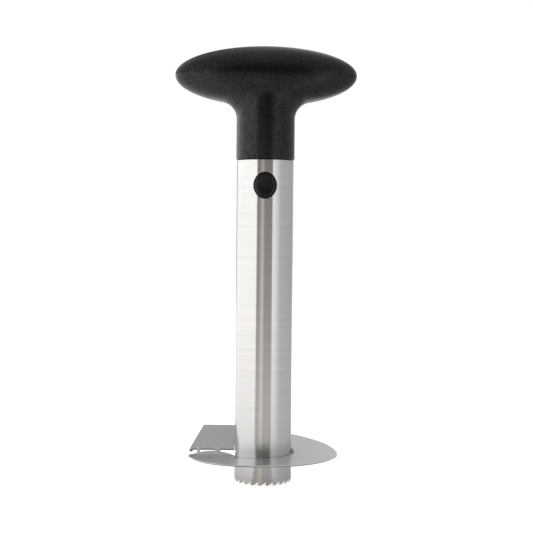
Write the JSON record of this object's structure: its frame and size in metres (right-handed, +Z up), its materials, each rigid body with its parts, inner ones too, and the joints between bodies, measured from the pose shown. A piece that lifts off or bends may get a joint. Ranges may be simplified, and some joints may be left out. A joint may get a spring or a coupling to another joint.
{
  "type": "pineapple slicer",
  "caption": "Toothed coring tube with a sprung disc blade near its foot and a black oval grip that lifts off once its side buttons are pressed.",
  "frame": {"origin": "on the coring tube's axis, level with the tips of its teeth", "axes": "+Z up the tube to the grip, +X along the grip to its right-hand end as the picture shows it, +Y to the rear, away from the camera"},
  "size_m": [0.1012, 0.083, 0.2411],
  "materials": {
    "brushed_steel": "fine brushing round the tube and across the blade",
    "grip_plastic": "fine spark-grained matte black",
    "button_plastic": "satin black",
    "plug_plastic": "matte dark grey",
    "spring_steel": "drawn wire",
    "screw_steel": "plated"
  },
  "bodies": {
    "corer": {"corer_tube": "brushed_steel", "slicing_blade": "brushed_steel", "blade_weld_1": "brushed_steel", "blade_weld_2": "brushed_steel", "blade_weld_3": "brushed_steel", "blade_weld_4": "brushed_steel"},
    "handle": {"handle_grip": "grip_plastic", "plug_half_left": "plug_plastic", "plug_half_right": "plug_plastic", "plug_screw_left": "screw_steel", "plug_screw_right": "screw_steel", "button_spring": "spring_steel"},
    "button_front": {"button_front": "button_plastic"},
    "button_rear": {"button_rear": "button_plastic"}
  },
  "joints": [
    {"name": "handle_lift", "type": "slide", "parent": "corer", "child": "handle", "axis": [0, 0, 1], "range_m": [0, 0.15]},
    {"name": "button_front_press", "type": "slide", "parent": "handle", "child": "button_front", "axis": [0, 1, 0], "range_m": [0, 0.0028], "stiffness_N_per_m": 800, "springref_m": -0.003, "deforming": ["button_spring"]},
    {"name": "button_rear_press", "type": "slide", "parent": "handle", "child": "button_rear", "axis": [0, -1, 0], "range_m": [0, 0.0028], "stiffness_N_per_m": 800, "springref_m": -0.003, "deforming": ["button_spring"]}
  ]
}
